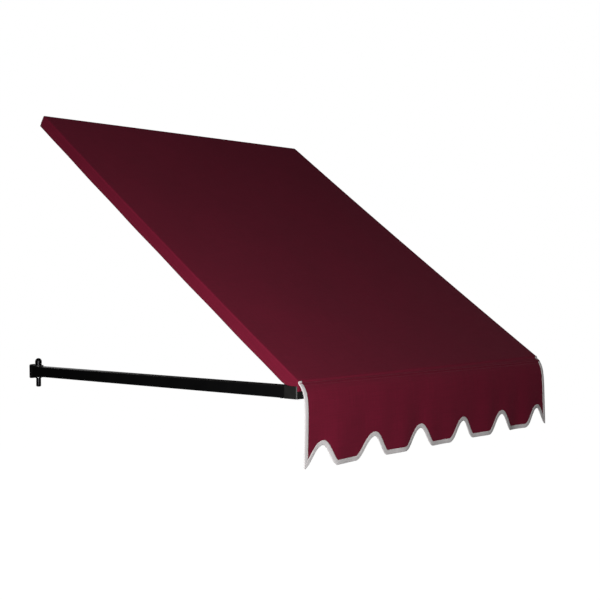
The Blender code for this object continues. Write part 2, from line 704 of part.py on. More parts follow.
def make_corner_screws(side, sign, tubes, corners, materials, parent):
    """One screw up through the underside of each tube into the corner's plug."""
    middle = TUBE_INSET + TUBE / 2
    reach = CORNER_SCREW_REACH
    under_rail = RAIL_UP - TUBE / 2 - GAP
    under_arm = ARM_UP - ARM_TUBE / 2 - GAP
    under_rafter = RAFTER_DEPTH + TUBE / 2 + GAP
    under_head = HEAD_END + GAP
    rail_x = sign * (CORNER_INNER_X - reach)
    rafter_x = sign * RAFTER_X
    top_along = HEAD_END + reach
    low_along = rafter_end() - reach - TUBE / 2
    rafter, arm = tubes[f"rafter_{side}"], tubes[f"arm_{side}"]
    head, front = corners[f"head_{side}"], corners[f"front_{side}"]
    up = Vector((0, 0, 1))
    spots = {
        f"head_rail_screw_{side}": (on_slope(middle, under_head, rail_x), OFF_SLOPE, tubes["head_rail"], head),
        f"rafter_top_screw_{side}": (on_slope(top_along, under_rafter, rafter_x), OFF_SLOPE, rafter, head),
        f"rafter_low_screw_{side}": (on_slope(low_along, under_rafter, rafter_x), OFF_SLOPE, rafter, front),
        f"front_rail_screw_{side}": (
            Vector((rail_x, -RAIL_FRONT_OUT + TUBE / 2, under_rail)),
            up,
            tubes["front_rail"],
            front,
        ),
        f"arm_screw_{side}": (Vector((sign * ARM_X, -CORNER_BACK + reach, under_arm)), up, arm, front),
    }
    for name, (base, inward, tube, corner) in spots.items():
        screw(name, base, inward, (tube, corner), materials["screw"], parent)


def make_cover_screws(cover, tubes, materials, parent):
    """Rows of screws that hold the back flap to the head rail and the front flap to the front rail."""
    front_up = CREST_UP - COVER_SCREW_BELOW_CREST
    for number, x in enumerate(COVER_SCREW_XS, 1):
        back = on_slope(-GAP, TUBE_INSET + TUBE / 2, x)
        hosts = (cover, tubes["head_rail"])
        screw(f"cover_screw_head_{number}", back, DOWN_SLOPE, hosts, materials["screw"], parent)
        front = Vector((x, -CREST_OUT - GAP, front_up))
        hosts = (cover, tubes["front_rail"])
        screw(f"cover_screw_front_{number}", front, (0, 1, 0), hosts, materials["screw"], parent)


def main():
    clear_scene()
    materials = make_materials()
    frame = bpy.data.objects.new("awning_frame", None)
    bpy.context.scene.collection.objects.link(frame)
    tubes = make_tubes(materials, frame)
    corners = {}
    for side, sign in (("left", -1), ("right", 1)):
        corners[f"head_{side}"] = make_head_corner(side, sign, materials, frame)
        corners[f"front_{side}"] = make_front_corner(side, sign, materials, frame)
        make_corner_screws(side, sign, tubes, corners, materials, frame)
        make_arm_pivot(side, sign, tubes[f"arm_{side}"], materials, frame)
    for side, x in BRACKET_XS.items():
        make_head_bracket(side, x, tubes["head_rail"], materials, frame)
    cover = make_cover(materials, frame)
    make_cover_screws(cover, tubes, materials, frame)
    make_valance(materials, frame)
    make_binding(materials, frame)


main()
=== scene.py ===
"""Window awning: the cloth, stitching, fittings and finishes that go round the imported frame."""

import math

import bmesh
import bpy
import numpy as np
from mathutils import Matrix, Vector


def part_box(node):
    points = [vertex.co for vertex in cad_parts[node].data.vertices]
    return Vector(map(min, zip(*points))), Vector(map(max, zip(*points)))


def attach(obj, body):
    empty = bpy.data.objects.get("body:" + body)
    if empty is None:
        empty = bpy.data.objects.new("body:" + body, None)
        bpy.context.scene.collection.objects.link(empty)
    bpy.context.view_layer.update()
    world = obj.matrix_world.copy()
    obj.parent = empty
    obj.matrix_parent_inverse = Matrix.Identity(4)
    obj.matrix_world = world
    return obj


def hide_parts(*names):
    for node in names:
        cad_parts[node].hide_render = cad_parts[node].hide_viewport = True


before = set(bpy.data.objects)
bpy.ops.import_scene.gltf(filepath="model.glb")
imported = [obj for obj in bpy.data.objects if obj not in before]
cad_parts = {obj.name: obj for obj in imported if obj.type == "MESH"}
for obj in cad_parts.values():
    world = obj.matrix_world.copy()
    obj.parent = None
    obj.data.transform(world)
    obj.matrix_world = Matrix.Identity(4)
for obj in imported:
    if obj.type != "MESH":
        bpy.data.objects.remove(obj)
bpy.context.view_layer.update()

bl_info = {
    "name": "Window Awning",
    "version": (1, 0, 0),
    "blender": (4, 5, 0),
    "location": "3D View > Sidebar > Awning",
    "description": "Builds the cloth, stitching, fittings and finishes of a fixed-frame window awning",
    "category": "Add Mesh",
}

# The frame's measures in metres. "Out" is the distance from the wall, "up" the height over the origin.
COVER_LOW, COVER_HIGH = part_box("canopy_cover")
HALF = COVER_HIGH.x
RIDGE_OUT, RIDGE_UP = 0.076, COVER_HIGH.z
CREST_OUT = -COVER_LOW.y
CREST_UP = COVER_LOW.z + 0.024
HEAD_END = 0.027
CLOTH = 0.0012
ARM_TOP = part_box("arm_left")[1].z
FLAP_LEVEL = ARM_TOP + 0.0003
SLOPE = math.atan2(RIDGE_UP - CREST_UP, CREST_OUT - RIDGE_OUT)
SLOPE_LENGTH = math.hypot(RIDGE_UP - CREST_UP, CREST_OUT - RIDGE_OUT)
DOWN_SLOPE = np.array((0.0, -math.cos(SLOPE), -math.sin(SLOPE)))
UNDER_SLOPE = np.array((0.0, math.sin(SLOPE), -math.cos(SLOPE)))

# Folds of the cover: the radius on its outer face, and the flaps' lengths
RIDGE_FOLD, SIDE_FOLD, CREST_FOLD = 0.0036, 0.0030, 0.007
BACK_FLAP, FRONT_FLAP, SIDE_FLAP = 0.024, 0.024, 0.032
HEM = 0.011
BACK_SHARE = (BACK_FLAP - RIDGE_FOLD) / (SIDE_FLAP - RIDGE_FOLD)

# Valance
SEAM_OUT = CREST_OUT + 0.0009
SEAM_UP = CREST_UP - 0.006
VALANCE_DROP = 0.187
NOSE, NOSE_FALL = 0.0215, 0.018
FLARE = 0.0075
NOTCHES, NOTCH_PITCH, NOTCH_SHIFT = 6, 0.1844, 0.0085
NOTCH_DEPTH, NOTCH_LEFT, NOTCH_RIGHT = 0.049, 0.070, 0.046
BINDING_WIDTH = 0.0095
BINDING_THICKNESS = 0.0006

SIDES = (("left", -1.0), ("right", 1.0))


def linear(hex_colour):
    """An sRGB hex colour as the linear RGBA that the shaders take."""
    channels = [int(hex_colour[i : i + 2], 16) / 255 for i in (1, 3, 5)]
    return (*[c / 12.92 if c <= 0.04045 else ((c + 0.055) / 1.055) ** 2.4 for c in channels], 1.0)


def colour_property(name, description, hex_colour):
    return bpy.props.FloatVectorProperty(
        name=name, description=description, subtype="COLOR", size=4, min=0, max=1, default=linear(hex_colour)
    )


def length_property(name, description, default, precision=4):
    return bpy.props.FloatProperty(
        name=name, description=description, default=default, min=0, unit="LENGTH", precision=precision
    )


class AwningSizes(bpy.types.PropertyGroup):
    sag_side: length_property("Sag over the rafters", "How deep the cover sinks along its side edges", 0.004)
    sag_middle: length_property("Sag in the middle", "How deep the cover sinks between the rafters", 0.009)
    ripple: length_property("Cover ripple", "Height of the soft tension waves in the cover", 0.0008)
    wave: length_property("Valance wave", "How far the hanging cloth waves in and out at its lower edge", 0.0026)
    stitch: length_property("Stitch pitch", "Distance from one stitch to the next", 0.0042)
    thread: length_property("Thread radius", "Radius of the sewing thread", 0.00028, 5)


class AwningColours(bpy.types.PropertyGroup):
    cloth: colour_property("Cloth", "Burgundy acrylic of the cover and the valance", "#7C1330")
    binding: colour_property("Binding", "White braid round the valance", "#F3EEEE")
    coat: colour_property("Powder coat", "Black coat of the tubes", "#0A0A0B")
    moulding: colour_property("Mouldings", "Charcoal nylon of the corners", "#1D1D1C")
    steel: colour_property("Blackened steel", "Bolts and barrel nuts", "#2A2A2C")
    zinc: colour_property("Zinc plate", "Screws and washers", "#B4B7BA")


# ---------------------------------------------------------------- meshes


def quads(rows, columns, wrap_rows=False, wrap_columns=False):
    """The corner numbers of each square of a grid that is stored row by row."""
    row, column = np.meshgrid(
        np.arange(rows if wrap_rows else rows - 1),
        np.arange(columns if wrap_columns else columns - 1),
        indexing="ij",
    )
    below, beside = (row + 1) % rows, (column + 1) % columns
    corners = (row * columns + column, below * columns + column, below * columns + beside, row * columns + beside)
    return np.stack(corners, -1).reshape(-1, 4)


def mesh_piece(name, points, faces, material, uv=None, merge=False, sharp=40.0):
    """A new object from an array of points and one of faces. uv is given for each point, in metres of cloth.
    merge closes seams and poles where points meet, and turns the faces outwards."""
    used, index = np.unique(faces, return_inverse=True)
    faces = index.reshape(faces.shape)
    mesh = bpy.data.meshes.new(name)
    mesh.from_pydata(points.reshape(-1, 3)[used].tolist(), [], faces.tolist())
    if uv is not None:
        corners = np.empty(len(mesh.loops), np.int64)
        mesh.loops.foreach_get("vertex_index", corners)
        layer = mesh.uv_layers.new(name="UVMap")
        layer.data.foreach_set("uv", uv.reshape(-1, 2)[used][corners].astype(np.float32).ravel())
    if merge:
        bm = bmesh.new()
        bm.from_mesh(mesh)
        bmesh.ops.remove_doubles(bm, verts=bm.verts, dist=1e-6)
        bmesh.ops.recalc_face_normals(bm, faces=bm.faces)
        bm.to_mesh(mesh)
        bm.free()
    mesh.shade_smooth()
    mesh.set_sharp_from_angle(angle=math.radians(sharp))
    mesh.materials.append(material)
    obj = bpy.data.objects.new(name, mesh)
    bpy.context.scene.collection.objects.link(obj)
    return obj


def settle(obj, body, slot, *nodes):
    """The piece rides on its body and stands for these CAD nodes, which are hidden. slot is not used."""
    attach(obj, body)
    if nodes:
        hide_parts(*nodes)
    return obj


def smooth(low, high, value):
    """0 below low, 1 above high, and an S curve between."""
    share = np.clip((value - low) / (high - low), 0, 1)
    return share * share * (3 - 2 * share)


def turned(profile, centre, axis, steps=32):
    """Rings of a profile of (radius, height) points turned about an axis through centre."""
    profile = np.asarray(profile, float)
    axis = np.asarray(axis, float) / np.linalg.norm(axis)
    side = np.cross(axis, (1.0, 0.0, 0.0) if abs(axis[0]) < 0.7 else (0.0, 1.0, 0.0))
    side /= np.linalg.norm(side)
    other = np.cross(axis, side)
    angle = np.linspace(0, 2 * np.pi, steps, endpoint=False)
    spoke = np.cos(angle)[:, None] * side + np.sin(angle)[:, None] * other
    return np.asarray(centre) + profile[:, :1, None] * spoke + profile[:, 1:, None] * axis


def turned_piece(name, profile, centre, axis, material, steps=32, sharp=40.0):
    """A closed turned shape. Its profile starts and ends on the axis, or joins up where it is a ring."""
    rings = turned(profile, centre, axis, steps)
    ring = profile[0][0] > 0
    faces = quads(len(profile), steps, wrap_rows=ring, wrap_columns=True)
    return mesh_piece(name, rings, faces, material, merge=True, sharp=sharp)


# ---------------------------------------------------------------- materials


def add(tree, kind, inputs=None, **settings):
    """Adds a node. settings are its properties. inputs gives each socket a value, or another node's output."""
    node = tree.nodes.new(kind)
    for key, value in settings.items():
        setattr(node, key, value)
    for key, value in (inputs or {}).items():
        if isinstance(value, bpy.types.NodeSocket):
            tree.links.new(value, node.inputs[key])
        else:
            node.inputs[key].default_value = value
    return node


def new_material(name, constants):
    """A material with one Principled shader. constants are set on the shader's own sockets."""
    material = bpy.data.materials.new(name)
    material.use_nodes = True
    tree = material.node_tree
    tree.nodes.clear()
    shader = add(tree, "ShaderNodeBsdfPrincipled", constants)
    add(tree, "ShaderNodeOutputMaterial", {"Surface": shader.outputs[0]})
    return material, tree, shader


def link(tree, output, shader, name):
    tree.links.new(output, shader.inputs[name])


def maths(tree, operation, a, b=0.0, c=0.0):
    return add(tree, "ShaderNodeMath", {0: a, 1: b, 2: c}, operation=operation).outputs[0]


def spread(tree, value, low, high):
    """A 0 to 1 value spread to the range low to high."""
    return add(tree, "ShaderNodeMapRange", {"Value": value, "To Min": low, "To Max": high}).outputs[0]


def shaded(tree, colour, amount):
    """The colour times an amount about 1."""
    scaled = add(tree, "ShaderNodeVectorMath", {0: colour[:3], 3: amount}, operation="SCALE")
    return scaled.outputs[0]


def cloth_material(name, colour):
    """Solution-dyed acrylic canvas in plain weave: matt, with a soft bloom at a low angle, each yarn a little lighter
    or darker than the next, and painted shade in the gaps of the weave. The real yarns are 0.5 mm apart. They are drawn
    1.5 mm apart, because finer ones would not show."""
    pitch = 0.0015
    material, tree, shader = new_material(
        name, {"Roughness": 0.86, "Sheen Weight": 0.18, "Sheen Roughness": 0.45, "Specular IOR Level": 0.25}
    )
    shader.inputs["Sheen Tint"].default_value = linear("#C46078")
    coordinates = add(tree, "ShaderNodeTexCoord").outputs["UV"]
    parts = add(tree, "ShaderNodeSeparateXYZ", {0: coordinates})
    turn = 2 * math.pi / pitch
    warp = maths(tree, "SINE", maths(tree, "MULTIPLY", parts.outputs[0], turn))
    weft = maths(tree, "SINE", maths(tree, "MULTIPLY", parts.outputs[1], turn))
    weave = maths(tree, "MULTIPLY_ADD", maths(tree, "MULTIPLY", warp, weft), 0.5, 0.5)
    slubs = []
    for stretch in ((1.0, 0.04, 1.0), (0.04, 1.0, 1.0)):
        placed = add(tree, "ShaderNodeMapping", {"Vector": coordinates, "Scale": stretch})
        yarn = add(
            tree, "ShaderNodeTexNoise", {"Vector": placed.outputs[0], "Scale": 0.5 / pitch, "Detail": 1.0}
        )
        slubs.append(yarn.outputs[0])
    slub = maths(tree, "ADD", *slubs)
    broad = add(
        tree, "ShaderNodeTexNoise", {"Vector": coordinates, "Scale": 4.0, "Detail": 4.0, "Roughness": 0.6}
    )
    # Painted shade: the colour darkens where the weave's height is low, in the gaps between yarns. The slubs and broad
    # patches below are the yarns' own tone.
    tone_and_gap_shade = maths(tree, "MULTIPLY_ADD", weave, 0.16, 0.92)
    tone_and_gap_shade = maths(tree, "MULTIPLY", tone_and_gap_shade, spread(tree, maths(tree, "MULTIPLY", slub, 0.5), 0.72, 1.28))
    tone_and_gap_shade = maths(tree, "MULTIPLY", tone_and_gap_shade, spread(tree, broad.outputs[0], 0.88, 1.12))
    link(tree, shaded(tree, colour, tone_and_gap_shade), shader, "Base Color")
    height = maths(tree, "MULTIPLY_ADD", slub, 0.5, weave)
    bump = add(tree, "ShaderNodeBump", {"Strength": 0.35, "Distance": 0.00025, "Height": height})
    link(tree, bump.outputs[0], shader, "Normal")
    link(tree, spread(tree, broad.outputs[0], 0.8, 0.92), shader, "Roughness")
    return material


def braid_material(name, colour):
    """White acrylic binding braid, woven with ribs across it: matt and slightly warm, with painted shade between the
    ribs. The real ribs are 0.8 mm apart. They are drawn 1.6 mm apart so that they show."""
    material, tree, shader = new_material(
        name, {"Roughness": 0.8, "Sheen Weight": 0.1, "Specular IOR Level": 0.3}
    )
    coordinates = add(tree, "ShaderNodeTexCoord").outputs["UV"]
    parts = add(tree, "ShaderNodeSeparateXYZ", {0: coordinates})
    rib = maths(tree, "SINE", maths(tree, "MULTIPLY", parts.outputs[1], 2 * math.pi / 0.0016))
    yarn = maths(tree, "SINE", maths(tree, "MULTIPLY", parts.outputs[0], 2 * math.pi / 0.0011))
    height = maths(tree, "MULTIPLY_ADD", maths(tree, "MULTIPLY_ADD", yarn, 0.35, rib), 0.37, 0.5)
    fuzz = add(tree, "ShaderNodeTexNoise", {"Vector": coordinates, "Scale": 60.0, "Detail": 3.0})
    # Painted shade: the braid is made grey where its ribs dip. The fuzz is its own tone.
    tone_and_gap_shade = maths(tree, "MULTIPLY", spread(tree, height, 0.9, 1.03), spread(tree, fuzz.outputs[0], 0.93, 1.05))
    link(tree, shaded(tree, colour, tone_and_gap_shade), shader, "Base Color")
    bump = add(tree, "ShaderNodeBump", {"Strength": 0.5, "Distance": 0.0003, "Height": height})
    link(tree, bump.outputs[0], shader, "Normal")
    return material


def thread_material(name, colour):
    """Bonded polyester sewing thread: smooth, faintly glossy, with the twist of its three plies and painted shade in
    the grooves between them.
    """
    material, tree, shader = new_material(name, {"Roughness": 0.5, "Sheen Weight": 0.1})
    coordinates = add(tree, "ShaderNodeTexCoord").outputs["Object"]
    twist = add(tree, "ShaderNodeTexWave", {"Vector": coordinates, "Scale": 220.0, "Distortion": 1.5})
    twist.bands_direction = "DIAGONAL"
    # Painted shade: the thread's colour darkens in the grooves of its twist, where the bump is low.
    link(tree, shaded(tree, colour, spread(tree, twist.outputs[1], 0.82, 1.1)), shader, "Base Color")
    bump = add(tree, "ShaderNodeBump", {"Strength": 0.3, "Distance": 0.0001, "Height": twist.outputs[1]})
    link(tree, bump.outputs[0], shader, "Normal")
    return material


def coated_material(name, colour, roughness, peel):
    """Baked powder coat over metal: satin, with the soft waviness of orange peel, and a trace of dust on top.
    peel is the distance between its waves in metres."""
    material, tree, shader = new_material(name, {"Specular IOR Level": 0.5})
    coordinates = add(tree, "ShaderNodeTexCoord").outputs["Object"]
    skin = add(tree, "ShaderNodeTexNoise", {"Vector": coordinates, "Scale": 1 / peel, "Detail": 2.0})
    patch = add(
        tree, "ShaderNodeTexNoise", {"Vector": coordinates, "Scale": 9.0, "Detail": 5.0, "Roughness": 0.65}
    )
    facing = add(tree, "ShaderNodeSeparateXYZ", {0: add(tree, "ShaderNodeNewGeometry").outputs["Normal"]})
    topside = maths(tree, "MAXIMUM", facing.outputs[2], 0.0)
    dust = maths(tree, "MULTIPLY", topside, spread(tree, patch.outputs[0], 0.0, 0.10))
    tinted = add(
        tree,
        "ShaderNodeMix",
        {"Factor": dust, 6: shaded(tree, colour, spread(tree, patch.outputs[0], 0.7, 1.3)), 7: linear("#6E6A64")},
        data_type="RGBA",
    )
    link(tree, tinted.outputs[2], shader, "Base Color")
    rough = spread(tree, patch.outputs[0], roughness - 0.08, roughness + 0.08)
    link(tree, maths(tree, "MULTIPLY_ADD", dust, 2.0, rough), shader, "Roughness")
    bump = add(tree, "ShaderNodeBump", {"Strength": 0.25, "Distance": 0.0001, "Height": skin.outputs[0]})
    link(tree, bump.outputs[0], shader, "Normal")
    return material


def moulded_material(name, colour, roughness):
    """Glass-filled nylon from a spark-eroded mould: a fine, even grain with a low shine and faint flow marks.
    The real grain is 0.1 mm. It is drawn at 0.7 mm so that it shows."""
    material, tree, shader = new_material(name, {"IOR": 1.53, "Specular IOR Level": 0.45})
    coordinates = add(tree, "ShaderNodeTexCoord").outputs["Object"]
    grain = add(tree, "ShaderNodeTexNoise", {"Vector": coordinates, "Scale": 1400.0, "Detail": 3.0})
    flow = add(
        tree, "ShaderNodeTexNoise", {"Vector": coordinates, "Scale": 35.0, "Detail": 3.0, "Distortion": 1.2}
    )
    link(tree, shaded(tree, colour, spread(tree, flow.outputs[0], 0.8, 1.25)), shader, "Base Color")
    link(tree, spread(tree, flow.outputs[0], roughness - 0.07, roughness + 0.07), shader, "Roughness")
    bump = add(tree, "ShaderNodeBump", {"Strength": 0.3, "Distance": 0.00008, "Height": grain.outputs[0]})
    link(tree, bump.outputs[0], shader, "Normal")
    return material


def metal_material(name, colour, roughness, marks):
    """Plated or blackened steel: a metal shine broken by fine tool marks and by patches of duller plate."""
    material, tree, shader = new_material(name, {"Metallic": 1.0})
    coordinates = add(tree, "ShaderNodeTexCoord").outputs["Object"]
    patch = add(
        tree, "ShaderNodeTexNoise", {"Vector": coordinates, "Scale": 160.0, "Detail": 5.0, "Roughness": 0.7}
    )
    scratch = add(tree, "ShaderNodeMapping", {"Vector": coordinates, "Scale": (1.0, 1.0, 9.0)})
    lines = add(tree, "ShaderNodeTexNoise", {"Vector": scratch.outputs[0], "Scale": marks, "Detail": 2.0})
    link(tree, shaded(tree, colour, spread(tree, patch.outputs[0], 0.7, 1.25)), shader, "Base Color")
    link(tree, spread(tree, patch.outputs[0], roughness - 0.1, roughness + 0.14), shader, "Roughness")
    bump = add(tree, "ShaderNodeBump", {"Strength": 0.3, "Distance": 0.00006, "Height": lines.outputs[0]})
    link(tree, bump.outputs[0], shader, "Normal")
    return material


def finish_named(name):
    """The finish of that name, made the first time that it is asked for."""
    made = bpy.data.materials.get(name)
    if made is not None:
        return made
    colours = bpy.context.scene.awning_colours
    cloth, binding = tuple(colours.cloth), tuple(colours.binding)
    bright_cloth = tuple(min(1.0, channel * 1.15) for channel in cloth)
    makers = {
        "acrylic_canvas": lambda: cloth_material(name, cloth),
        "binding_braid": lambda: braid_material(name, binding),
        "canvas_thread": lambda: thread_material(name, bright_cloth),
        "braid_thread": lambda: thread_material(name, linear("#DCD5D3")),
        "powder_coated_tube": lambda: coated_material(name, tuple(colours.coat), 0.40, 0.0022),
        "powder_coated_steel": lambda: coated_material(name, tuple(colours.coat), 0.46, 0.0016),
        "moulded_nylon": lambda: moulded_material(name, tuple(colours.moulding), 0.5),
        "black_nylon": lambda: moulded_material(name, linear("#101010"), 0.55),
        "blackened_steel": lambda: metal_material(name, tuple(colours.steel), 0.34, 500.0),
        "zinc_plate": lambda: metal_material(name, tuple(colours.zinc), 0.30, 700.0),
    }
    return makers[name]()


# ---------------------------------------------------------------- cover


def cover_sag(x, along):
    """How deep the cover sinks under its straight line: a parabola down the slope, deepest between the rafters."""
    sizes = bpy.context.scene.awning_sizes
    share = np.clip((along - HEAD_END) / (SLOPE_LENGTH - HEAD_END), 0, 1)
    amount = sizes.sag_side + (sizes.sag_middle - sizes.sag_side) * np.cos(np.pi * x / (2 * HALF)) ** 2
    return 4 * share * (1 - share) * amount


def cover_ripple(x, along):
    """Soft tension waves: three slanted sine waves that die away at the edges, and short puckers at the seam."""
    height = bpy.context.scene.awning_sizes.ripple
    across, down = x / HALF, along / SLOPE_LENGTH
    inside = (1 - np.abs(across) ** 6) * smooth(0.04, 0.2, down) * smooth(0.02, 0.15, 1 - down)
    waves = np.sin(2 * np.pi * (1.3 * across + 0.9 * down) + 0.6)
    waves = waves + 0.6 * np.sin(2 * np.pi * (0.8 * across - 2.1 * down) + 1.9)
    waves = waves + 0.4 * np.sin(2 * np.pi * (2.6 * across + 1.7 * down) + 4.0)
    near_seam = np.exp(-np.maximum(SLOPE_LENGTH - along, 0) / 0.03) * smooth(0, 0.01, SLOPE_LENGTH - along)
    puckers = np.sin(2 * np.pi * x / 0.031 + 2 * np.sin(9 * x)) * (1 - across**4) * near_seam
    return height * inside * waves + 0.35 * height * puckers


def fold(arc, radius, angle):
    """How far a strip reaches and drops when it bends through angle on a radius, at each distance past the bend's
    start: flat before the bend, round through it and straight after it."""
    turn = np.clip(arc / radius, 0, angle)
    after = np.maximum(arc - radius * angle, 0)
    reach = np.minimum(arc, 0) + radius * np.sin(turn) + after * math.cos(angle)
    drop = radius * (1 - np.cos(turn)) + after * math.sin(angle)
    return reach, drop


def cover_rows():
    """The cover's line from the back flap's edge over the ridge, down the slope, over the crest and down the front
    flap. Gives each row's point, inward direction, the direction its side flap hangs in, distance down the slope,
    distance along the cloth, and whether it has side flaps."""
    quarter = math.pi / 2
    crest_turn = quarter - SLOPE
    crest_start = SLOPE_LENGTH - CREST_FOLD * math.tan(crest_turn / 2)
    ridge_arc = np.linspace(-RIDGE_FOLD * quarter, 0, 7)
    slope_arc = np.linspace(0, crest_start - RIDGE_FOLD, 144)[1:-1]
    crest_arc = np.linspace(0, CREST_FOLD * crest_turn, 8)
    ridge_reach, ridge_drop = fold(-ridge_arc, RIDGE_FOLD, quarter)
    crest_reach, crest_drop = fold(crest_arc, CREST_FOLD, crest_turn)
    back_arc = np.sort(-flap_shares()[flap_shares() <= BACK_SHARE + 1e-9]) * (SIDE_FLAP - RIDGE_FOLD)
    crest_end_up = CREST_UP - CREST_FOLD * math.tan(crest_turn / 2)
    level = crest_end_up - FLAP_LEVEL
    front_arc = np.concatenate([flap_shares() * level, np.linspace(level, FRONT_FLAP - CREST_UP + crest_end_up, 6)[1:]])
    along = np.concatenate(
        [0 * back_arc, RIDGE_FOLD - ridge_reach, RIDGE_FOLD + slope_arc, crest_start + crest_reach, 0 * front_arc]
    )
    depth = np.concatenate([RIDGE_FOLD - back_arc, ridge_drop, 0 * slope_arc, crest_drop, 0 * front_arc])
    turn = np.concatenate([0 * back_arc - quarter, ridge_arc / RIDGE_FOLD, 0 * slope_arc, crest_arc / CREST_FOLD])
    turn = np.concatenate([turn, 0 * front_arc + crest_turn])
    arc = np.concatenate([ridge_arc[0] + back_arc, ridge_arc, slope_arc])
    arc = np.concatenate([arc, crest_start - RIDGE_FOLD + crest_arc])
    arc = np.concatenate([arc, arc[-1] + front_arc]) + RIDGE_FOLD
    line = np.array((0, -RIDGE_OUT, RIDGE_UP)) + along[:, None] * DOWN_SLOPE + depth[:, None] * UNDER_SLOPE
    line[-len(front_arc) :] = [0, -CREST_OUT, crest_end_up]
    line[-len(front_arc) :, 2] -= front_arc
    along[-len(front_arc) :] = SLOPE_LENGTH
    inward = np.cos(turn)[:, None] * UNDER_SLOPE - np.sin(turn)[:, None] * DOWN_SLOPE
    lean = SLOPE * (1 - np.clip(turn / crest_turn, 0, 1))
    hang = np.stack([0 * lean, np.sin(lean), -np.cos(lean)], -1)
    number = np.arange(len(arc))
    flapped = (number >= len(back_arc)) & (number < len(arc) - len(front_arc))
    return line, inward, hang, along, arc, flapped


def flap_shares():
    """Shares of a side flap's length at which it has points. The back flap's edge meets it at one of them."""
    return np.concatenate([np.linspace(0, BACK_SHARE, 8)[1:], np.linspace(BACK_SHARE, 1, 6)[1:]])


def flap_frame():
    """The side flaps' top points, hanging direction and lengths, for each row of the cover's line."""
    line, inward, hang, along, _, flapped = cover_rows()
    sag = cover_sag(HALF, along)
    bound = line + (SIDE_FOLD + sag)[:, None] * inward
    depth = (line + SIDE_FOLD * inward - np.array((0, -RIDGE_OUT, RIDGE_UP))) @ UNDER_SLOPE
    cut = SIDE_FLAP - depth
    room = (bound[:, 2] - FLAP_LEVEL) / -hang[:, 2]
    # The flap is as long as it was cut, or ends level over the arm, with a round corner between the two
    mix = np.clip(0.5 + (room - cut) / 0.02, 0, 1)
    length = cut * mix + room * (1 - mix) - 0.01 * mix * (1 - mix)
    return bound, hang, length, along, flapped


def flap_proud(share, from_edge, along):
    """How far a side flap stands out from the frame's side: the hem's double cloth, and a slow flutter."""
    ends = smooth(0.02, 0.1, along) * smooth(0.02, 0.1, SLOPE_LENGTH - along)
    hem = 0.0005 * smooth(0, 0.0014, HEM - from_edge) * (share > 0) * smooth(0, 0.02, along)
    return hem + 0.0007 * share**2 * np.sin(along * 2 * np.pi / 0.23 + 0.4) * ends


def cover_grid():
    """The cover as one net of points. Rows follow its line from back to front. Columns run from the left flap's
    edge up over the left fold, across the middle and down the right side. Where a side flap meets the back or the
    front flap, both have the same points, so the corners close when they are merged."""
    line, inward, hang, along, arc, flapped = cover_rows()
    fold_arc = np.linspace(0, SIDE_FOLD * math.pi / 2, 6)[1:]
    fold_reach, fold_drop = fold(fold_arc, SIDE_FOLD, math.pi / 2)
    middle = np.linspace(-(HALF - SIDE_FOLD), HALF - SIDE_FOLD, 123)
    shares = flap_shares()
    zeros = np.zeros(len(shares))
    half_x = HALF - SIDE_FOLD + np.concatenate([fold_reach, zeros + SIDE_FOLD])
    half_drop = np.concatenate([fold_drop, zeros + SIDE_FOLD])
    half_share = np.concatenate([0 * fold_arc, shares])
    x = np.concatenate([-half_x[::-1], middle, half_x])
    drop = np.concatenate([half_drop[::-1], 0 * middle, half_drop])
    share = np.concatenate([half_share[::-1], 0 * middle, half_share])

    sag = cover_sag(x[None], along[:, None])
    lift = cover_ripple(x[None], along[:, None]) * (share == 0)
    length = flap_frame()[2]
    points = line[:, None] + (drop + sag - lift)[..., None] * inward[:, None]
    points = points + (share * length[:, None])[..., None] * hang[:, None]
    points[..., 0] = x + np.sign(x) * flap_proud(share, (1 - share) * length[:, None], along[:, None])
    across = np.sign(x) * np.where(share > 0, HALF, 0) + np.where(share > 0, 0, x)
    across = across + np.sign(x) * share * length[:, None]
    uv = np.stack([across, arc[:, None] + 0 * across], -1)
    return points, uv, share, flapped


class AWNING_OT_cover(bpy.types.Operator):
    """Sews the cover: one cloth over the whole frame, with a hemmed flap on each side"""

    bl_idname = "awning.cover"
    bl_label = "Cover"

    def execute(self, context):
        points, uv, share, flapped = cover_grid()
        rows, columns = points.shape[:2]
        faces = quads(rows, columns)
        row, column = faces[:, 0] // columns, faces[:, 0] % columns
        on_flap = (share[column] > 0) | (share[np.minimum(column + 1, columns - 1)] > 0)
        in_flapped = flapped[row] & flapped[np.minimum(row + 1, rows - 1)]
        faces = faces[~on_flap | in_flapped]
        cover = mesh_piece("cover_cloth", points, faces, finish_named("acrylic_canvas"), uv, sharp=60)
        weld(cover)
        thicken(cover, CLOTH, -1)
        settle(cover, "awning", "cover_cloth", "canopy_cover")
        return {"FINISHED"}


def weld(obj):
    """Merges the points that meet, without turning any face."""
    bm = bmesh.new()
    bm.from_mesh(obj.data)
    bmesh.ops.remove_doubles(bm, verts=bm.verts, dist=2e-5)
    bm.to_mesh(obj.data)
    bm.free()


def thicken(obj, thickness, offset):
    """Gives a sheet its thickness, with its rim closed."""
    wall = obj.modifiers.new("cloth thickness", "SOLIDIFY")
    wall.thickness = thickness
    wall.offset = offset
    wall.use_even_offset = True


# ---------------------------------------------------------------- valance


def notch_places():
    number = np.arange(NOTCHES)
    return (number - (NOTCHES - 1) / 2) * NOTCH_PITCH + NOTCH_SHIFT


def valance_bottom(x):
    """How far the scalloped edge is under the seam: the full drop, less a squared cosine at each notch, whose left
    flank is longer than its right one."""
    x = np.asarray(x, float)
    fall = np.full(x.shape, VALANCE_DROP)
    for place in notch_places():
        side = np.where(x < place, NOTCH_LEFT, NOTCH_RIGHT)
        away = np.clip(np.abs(x - place) / side, 0, 1)
        fall = fall - NOTCH_DEPTH * np.cos(np.pi / 2 * away) ** 2
    return fall


